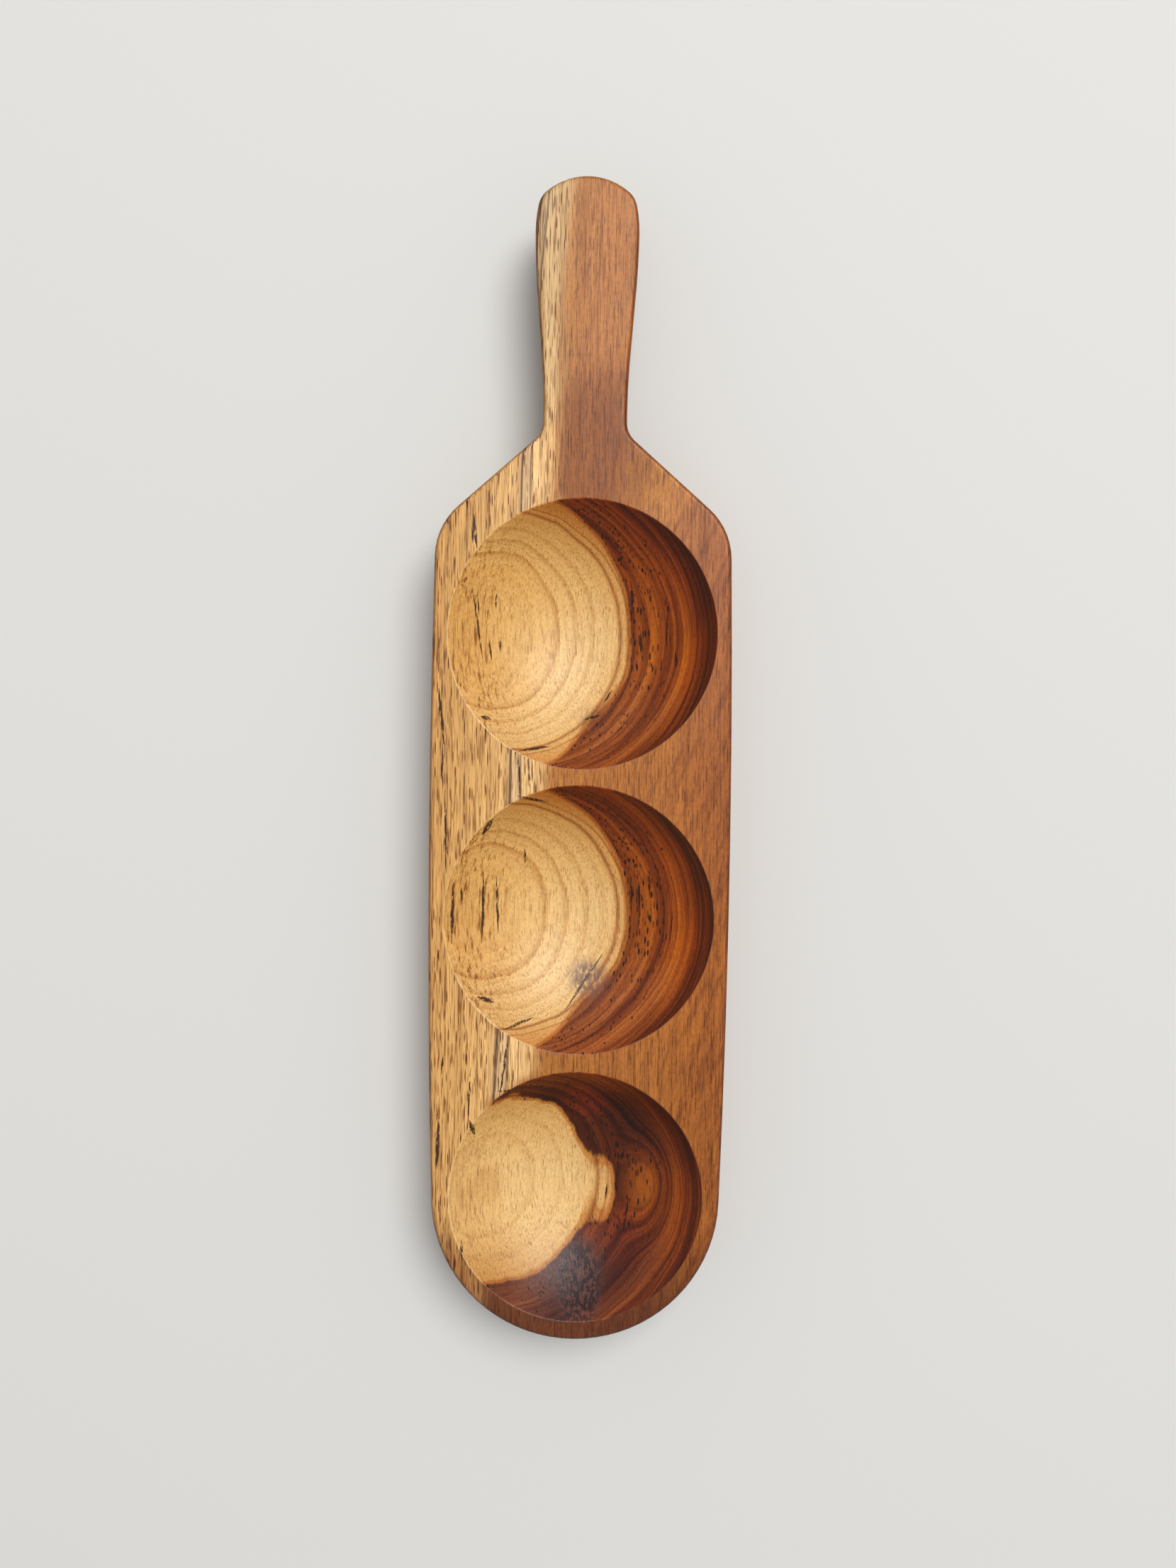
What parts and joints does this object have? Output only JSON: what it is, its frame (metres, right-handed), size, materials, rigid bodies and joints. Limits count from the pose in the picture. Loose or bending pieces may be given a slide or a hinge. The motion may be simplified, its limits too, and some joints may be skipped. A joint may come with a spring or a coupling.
{
  "type": "chip and dip server",
  "caption": "Long hardwood serving board with a paddle handle and a row of round bowl-shaped wells for dips and chips, carved from solid wood.",
  "frame": {"origin": "middle of the bounding box's underside: on the flat underside, half way along the server", "axes": "+Z out of the carved face, +Y along the server from its round foot to its handle, +X to the server's right"},
  "size_m": [0.117, 0.45, 0.032],
  "materials": {
    "oiled_hardwood": "sanded smooth and oiled, satin"
  },
  "bodies": {
    "root": {"server_body": "oiled_hardwood"}
  },
  "joints": []
}
